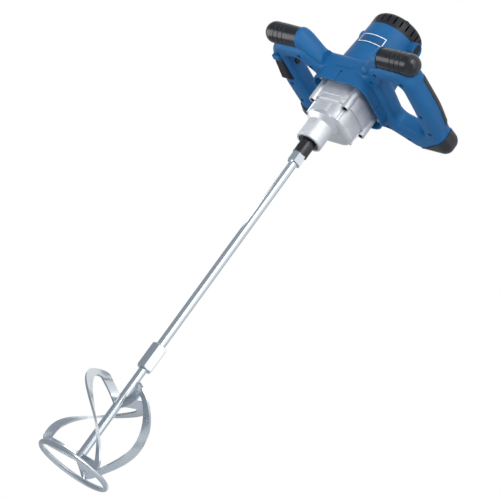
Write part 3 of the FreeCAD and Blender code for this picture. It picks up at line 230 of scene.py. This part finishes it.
def plate_paint():
    """Dark blue enamel with a pale outline a little inside the plate's edge."""
    shader = moulded("name_plate_enamel", (0.006, 0.074, 0.210), (0.009, 0.088, 0.240),
                     rough=(0.28, 0.38), grain=2600.0, depth=0.00004, shine=0.3)
    low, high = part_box("name_plate")
    corners = [v.co for v in nodes["name_plate"].data.vertices]
    turns = [math.atan2(v.y - MOTOR_Y, v.x) for v in corners]
    radius = max(math.hypot(v.x, v.y - MOTOR_Y) for v in corners)
    middle = (max(turns) + min(turns)) / 2
    half_turn = (max(turns) - min(turns)) / 2
    x, y, z = shader.axes()
    turn = shader.math("ARCTAN2", shader.math("SUBTRACT", y, MOTOR_Y), x)
    across = shader.away(turn, middle)
    from_side = shader.times(shader.math("SUBTRACT", half_turn, across), radius)
    up = shader.away(z, (low[2] + high[2]) / 2)
    from_end = shader.math("SUBTRACT", (high[2] - low[2]) / 2, up)
    inset = shader.math("MINIMUM", from_side, from_end)
    line = shader.times(shader.math("GREATER_THAN", inset, OUTLINE_START),
                        shader.math("LESS_THAN", inset, OUTLINE_END))
    field = shader.bsdf.inputs["Base Color"].links[0].from_socket
    shader.colour(shader.mix(line, field, (0.80, 0.83, 0.86)))
    return shader


finishes = {
    "blue_plastic": housing_plastic(),
    "black_rubber": moulded("black_soft_rubber", (0.005, 0.006, 0.009), (0.010, 0.012, 0.017),
                            rough=(0.22, 0.30), grain=1500.0, depth=0.00003),
    "black_plastic": moulded("black_satin_plastic", (0.008, 0.009, 0.012), (0.015, 0.017, 0.022),
                             rough=(0.34, 0.44), grain=2300.0, depth=0.00008, shine=0.25),
    "cast_aluminium": cast_aluminium(),
    "dark_steel": dark_steel(),
    "zinc_steel": metal("bright_zinc_steel", (0.58, 0.63, 0.67), (0.64, 0.69, 0.73),
                        rough=(0.17, 0.24), stretch=(1.0, 1.0, 0.10), grain=400.0,
                        depth=0.000004),
    "bright_steel": metal("ground_steel", (0.50, 0.50, 0.52), (0.64, 0.64, 0.66),
                          rough=(0.22, 0.36)),
    "black_steel": metal("black_oxide_steel", (0.018, 0.018, 0.020), (0.035, 0.034, 0.036),
                         rough=(0.34, 0.48)),
    "copper": metal("bare_copper", (0.66, 0.30, 0.13), (0.80, 0.40, 0.20), rough=(0.24, 0.40)),
    "plate_blue": plate_paint(),
}
soft_grip = moulded("grip_rubber", (0.016, 0.016, 0.018), (0.028, 0.028, 0.030),
                    rough=(0.44, 0.56), grain=1500.0, depth=0.00010)
for part in frame["record"]["subparts"]:
    is_grip = "grip_strip" in part["node"]
    finish = soft_grip if is_grip else finishes[part["material_slot"]]
    materials = nodes[part["node"]].data.materials
    materials.clear()
    materials.append(finish.material)


# Mesh helpers

def mesh_object(name, verts, faces, shader):
    mesh = bpy.data.meshes.new(name)
    mesh.from_pydata(verts, [], faces)
    mesh.materials.append(shader.material)
    obj = bpy.data.objects.new(name, mesh)
    scene.collection.objects.link(obj)
    return obj


def tube(start, rows, width, closed=False):
    """Faces over rows of points, each row an outline of the given number of points."""
    faces = []
    for i in range(rows if closed else rows - 1):
        near, far = start + i * width, start + (i + 1) % rows * width
        for k in range(width):
            nxt = (k + 1) % width
            faces.append((near + k, near + nxt, far + nxt, far + k))
    return faces


# Ribs across the rubber strips on the grips

RIB_PITCH = 0.0035
RIB_HALF_WIDTH = 0.0011
RIB_HEIGHT = 0.0006
RIB_MARGIN = 0.0022       # strip left plain at its ends
RIB_STATIONS = 30         # places tried up the strip for one rib
RIB_TRIM = 2              # of these, left plain along each edge
RIB_LEAST = 10            # shorter ribs are left out
RIB_PROFILE = ((-1.0, -0.6), (-1.0, 0.1), (-0.6, 0.75), (0.0, 1.0),
               (0.6, 0.75), (1.0, 0.1), (1.0, -0.6))
RAY_START = 0.3           # well outside the grips
FACING = 0.6              # least outward part of a normal on the outer face


def rib_line(surface, side, y, low_z, high_z):
    """Points and normals up the outer face of a strip at one place along it."""
    found = []
    for k in range(RIB_STATIONS + 1):
        z = low_z + (high_z - low_z) * k / RIB_STATIONS
        start, inward = Vector((side * RAY_START, y, z)), Vector((-side, 0.0, 0.0))
        point, normal = surface.ray_cast(start, inward)[:2]
        if point is not None and normal.x * side > FACING:
            found.append((point, normal))
    return found[RIB_TRIM:-RIB_TRIM]


def ribs(name, strip, side):
    mesh = nodes[strip].data
    surface = BVHTree.FromPolygons([v.co for v in mesh.vertices],
                                   [p.vertices for p in mesh.polygons])
    low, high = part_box(strip)
    count = int((high[1] - low[1] - 2 * RIB_MARGIN) / RIB_PITCH)
    first_y = (low[1] + high[1] - count * RIB_PITCH) / 2
    width = len(RIB_PROFILE)
    verts, faces = [], []
    for i in range(count + 1):
        line = rib_line(surface, side, first_y + i * RIB_PITCH, low[2], high[2])
        if len(line) < RIB_LEAST:
            continue
        start = len(verts)
        for point, normal in line:
            along = (Vector((0.0, 1.0, 0.0)) - normal * normal.y).normalized()
            for across, rise in RIB_PROFILE:
                verts.append(point + along * across * RIB_HALF_WIDTH + normal * rise * RIB_HEIGHT)
        faces += tube(start, len(line), width)
        faces.append(tuple(range(start, start + width)))
        faces.append(tuple(range(len(verts) - width, len(verts))))
    piece = mesh_object(name, verts, faces, soft_grip)
    shape = bmesh.new()
    shape.from_mesh(piece.data)
    bmesh.ops.recalc_face_normals(shape, faces=shape.faces)
    shape.to_mesh(piece.data)
    shape.free()
    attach(piece, "housing")


ribs("right_grip_ribs", "right_grip_strip", 1.0)
ribs("left_grip_ribs", "left_grip_strip", -1.0)


# Weld beads where the blades meet the shaft and the ring

BEAD = 0.0011             # radius of a bead
SWELL = 0.08              # part of the radius by which a bead ripples
RIPPLE = 0.0024           # length of one ripple
STEPS = 6                 # points along one ripple
SIDES = 8
TOUCH = 0.0002            # points nearer than this lie on the other piece


def seam_loop(blade, distance, low, high):
    """Points of a blade, between two heights, that lie on what it is welded to.

    They come in order round the joint."""
    points = [v.co.copy() for v in nodes[blade].data.vertices
              if low < v.co.z < high and abs(distance(v.co)) < TOUCH]
    middle = sum(points, Vector()) / len(points)
    out = Vector((middle.x, middle.y, 0.0)).normalized()
    side = Vector((-out.y, out.x, 0.0))
    return sorted(points, key=lambda p: math.atan2(p.z - middle.z, (p - middle).dot(side)))


def evenly(loop, step):
    """Points at equal steps along a closed loop."""
    found, carry = [], 0.0
    for start, end in zip(loop, loop[1:] + loop[:1]):
        length = (end - start).length
        while carry < length:
            found.append(start.lerp(end, carry / length))
            carry += step
        carry -= length
    return found


def weld(name, loop):
    path = evenly(loop, RIPPLE / STEPS)
    count = len(path)
    middle = sum(path, Vector()) / count
    verts = []
    for i, point in enumerate(path):
        along = (path[(i + 1) % count] - path[i - 1]).normalized()
        outward = point - middle
        outward = (outward - along * outward.dot(along)).normalized()
        other = along.cross(outward)
        radius = BEAD * (1.0 + SWELL * math.sin(2 * math.pi * i / STEPS))
        for k in range(SIDES):
            turn = 2 * math.pi * k / SIDES
            verts.append(point + (outward * math.cos(turn) + other * math.sin(turn)) * radius)
    faces = tube(0, count, SIDES, closed=True)
    bead = mesh_object(name, verts, faces, finishes["zinc_steel"])
    bead.data.polygons.foreach_set("use_smooth", [True] * len(faces))
    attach(bead, "spindle")


shaft_low, shaft_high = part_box("paddle_shaft")
ring_low, ring_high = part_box("paddle_ring")
shaft_radius = (shaft_high[0] - shaft_low[0]) / 2
wire = (ring_high[2] - ring_low[2]) / 2         # radius of the ring's wire
ring_radius = (ring_high[0] - ring_low[0]) / 2 - wire
ring_z = (ring_high[2] + ring_low[2]) / 2


def from_shaft(point):
    return math.hypot(point.x, point.y) - shaft_radius


def from_ring(point):
    return math.hypot(math.hypot(point.x, point.y) - ring_radius, point.z - ring_z) - wire


for blade in ("paddle_blade_1", "paddle_blade_2", "paddle_blade_3"):
    low, high = (corner[2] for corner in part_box(blade))
    middle = (low + high) / 2
    weld("hub_weld_" + blade[-1], seam_loop(blade, from_shaft, middle, high))
    weld("foot_weld_" + blade[-1], seam_loop(blade, from_shaft, low, middle))
    weld("ring_weld_" + blade[-1], seam_loop(blade, from_ring, low, middle))


# Studio: a surround that is white where it is seen or mirrored and softer as light, a pale floor,
# soft lamps, and grey and bright cards for the metal and rubber to mirror

AMBIENT = 0.50
CENTRE = Vector((0.0, 0.0, -0.12))
FLOOR_Z = -2.60
FLOOR_HALF = 30.0
FLOOR_GLOW = 0.35         # added where the camera sees the floor

world = bpy.data.worlds.new("studio")
world.use_nodes = True
scene.world = world
tree = world.node_tree
soft = tree.nodes["Background"]
soft.inputs["Color"].default_value = (0.90, 0.94, 1.0, 1.0)
soft.inputs["Strength"].default_value = AMBIENT
white = tree.nodes.new("ShaderNodeBackground")
white.inputs["Color"].default_value = (1.0, 1.0, 1.0, 1.0)
white.inputs["Strength"].default_value = 1.0
light_path = tree.nodes.new("ShaderNodeLightPath")
seen = light_path.outputs["Is Camera Ray"]
for ray in ("Is Glossy Ray", "Is Transmission Ray"):
    either = tree.nodes.new("ShaderNodeMath")
    either.operation = "MAXIMUM"
    tree.links.new(seen, either.inputs[0])
    tree.links.new(light_path.outputs[ray], either.inputs[1])
    seen = either.outputs[0]
choose = tree.nodes.new("ShaderNodeMixShader")
for source, socket in zip((seen, soft.outputs[0], white.outputs[0]), choose.inputs):
    tree.links.new(source, socket)
tree.links.new(choose.outputs[0], tree.nodes["World Output"].inputs["Surface"])


def placed(offset):
    """Point so far right of the centre, above it and toward the camera."""
    return CENTRE + RIGHT * offset[0] + UP * offset[1] + BACK * offset[2]


def lamp(name, offset, size, watts, mirrored=True):
    data = bpy.data.lights.new(name, "AREA")
    data.shape = "RECTANGLE"
    data.size, data.size_y = size
    data.energy = watts
    light = bpy.data.objects.new(name, data)
    light.location = placed(offset)
    light.rotation_euler = (CENTRE - light.location).to_track_quat("-Z", "Y").to_euler()
    light.visible_glossy = mirrored
    light.visible_camera = False
    scene.collection.objects.link(light)


def sheet(name, corners, shader):
    obj = mesh_object(name, corners, [(0, 1, 2, 3)], shader)
    return obj


def card(name, corner, across, along, glow):
    """Glowing sheet that shows only in reflections, given by a corner and two sides."""
    paint = Shader(name, Base_Color=(0.0, 0.0, 0.0, 1.0), Emission_Color=(*glow, 1.0),
                   Emission_Strength=1.0)
    corner, across, along = Vector(corner), Vector(across), Vector(along)
    offsets = (corner, corner + across, corner + across + along, corner + along)
    obj = sheet(name, [placed(offset) for offset in offsets], paint)
    obj.visible_camera = obj.visible_diffuse = obj.visible_shadow = False


lamp("key", (1.2, 1.2, 1.7), (1.4, 1.4), 30.0)
lamp("fill", (-0.7, 0.1, 2.0), (1.6, 1.6), 27.0, mirrored=False)
lamp("back", (-0.4, 0.3, -2.2), (1.6, 1.6), 24.0, mirrored=False)
lamp("rim", (0.6, 1.8, -1.2), (1.6, 1.0), 12.0, mirrored=False)

card("left_card", (-1.00, -0.52, -0.60), (1.05, 1.45, 0.0), (0.0, 0.0, 3.40),
     glow=(0.36, 0.39, 0.43))
card("rod_card", (-0.56, -0.57, 0.01), (0.15, 0.20, 0.71), (0.41, 0.57, -0.25),
     glow=(0.33, 0.36, 0.40))
card("front_card", (-2.20, -2.00, 3.30), (2.30, 0.0, 0.0), (0.0, 4.0, 0.0),
     glow=(0.33, 0.36, 0.40))
card("low_card", (-0.20, -1.00, -0.60), (1.30, 0.25, 0.0), (0.0, 0.0, 1.60),
     glow=(0.58, 0.61, 0.65))
card("rear_card", (0.35, -1.00, -0.60), (1.30, 0.0, 0.0), (0.0, 1.40, 0.0),
     glow=(0.50, 0.53, 0.57))
card("bright_card", (1.40, -1.20, 1.00), (0.0, 2.60, 0.0), (-0.25, 0.0, 0.60),
     glow=(1.70, 1.72, 1.75))
card("soft_box", (-0.30, 0.14, -0.30), (0.0, 0.24, 0.0), (0.02, 0.0, 0.65),
     glow=(3.60, 3.65, 3.70))

floor_paint = Shader("pale_floor", Base_Color=(0.86, 0.86, 0.86, 1.0), Roughness=0.8,
                     Emission_Color=(1.0, 1.0, 1.0, 1.0))
seen_directly = floor_paint.add("ShaderNodeLightPath").outputs["Is Camera Ray"]
floor_glow = floor_paint.times(seen_directly, FLOOR_GLOW)
floor_paint.link(floor_glow, floor_paint.bsdf.inputs["Emission Strength"])
floor = sheet("floor", [(-FLOOR_HALF, -FLOOR_HALF, 0), (FLOOR_HALF, -FLOOR_HALF, 0),
                        (FLOOR_HALF, FLOOR_HALF, 0), (-FLOOR_HALF, FLOOR_HALF, 0)], floor_paint)
floor.location = (0.0, 0.0, FLOOR_Z)
